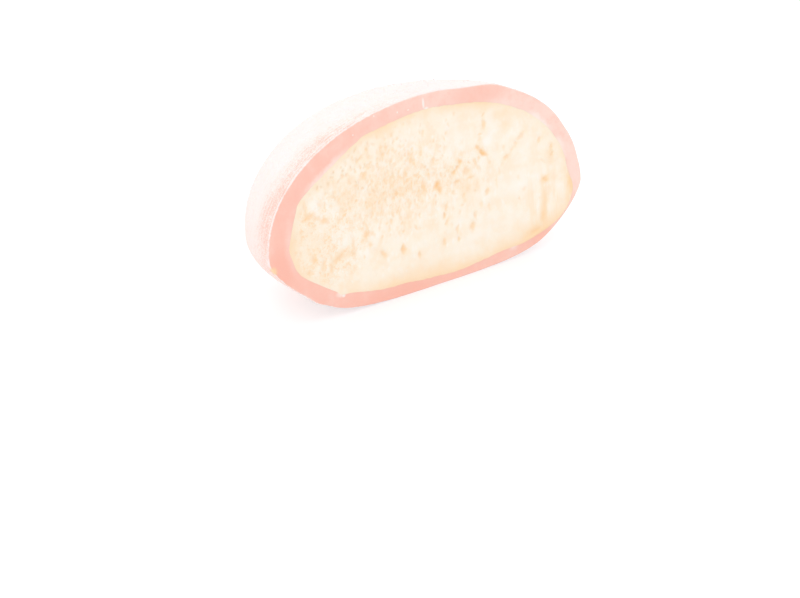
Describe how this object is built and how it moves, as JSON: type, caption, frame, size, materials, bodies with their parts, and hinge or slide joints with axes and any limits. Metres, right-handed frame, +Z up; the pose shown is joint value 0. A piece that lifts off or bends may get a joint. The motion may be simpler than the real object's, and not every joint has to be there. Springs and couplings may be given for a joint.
{
  "type": "halved mochi rice cake",
  "caption": "Half of a round mochi that stands on its flat base: a soft skin of pink rice dough around a pale ice cream filling, cut straight down the middle.",
  "frame": {"origin": "level with the flat base, under the middle of the bounding box", "axes": "+X along the cut, -Y out of the cut face, +Z up from the base to the crown"},
  "size_m": [0.05, 0.0232, 0.0268],
  "materials": {
    "rice_dough": "soft rice dough, satin pink where cut and dusted with white starch outside",
    "ice_cream": "matt airy ice cream with fine pores, crumbly at one end and wiped smooth at the other"
  },
  "bodies": {
    "root": {"dough_skin": "rice_dough", "ice_cream_filling": "ice_cream"}
  },
  "joints": []
}
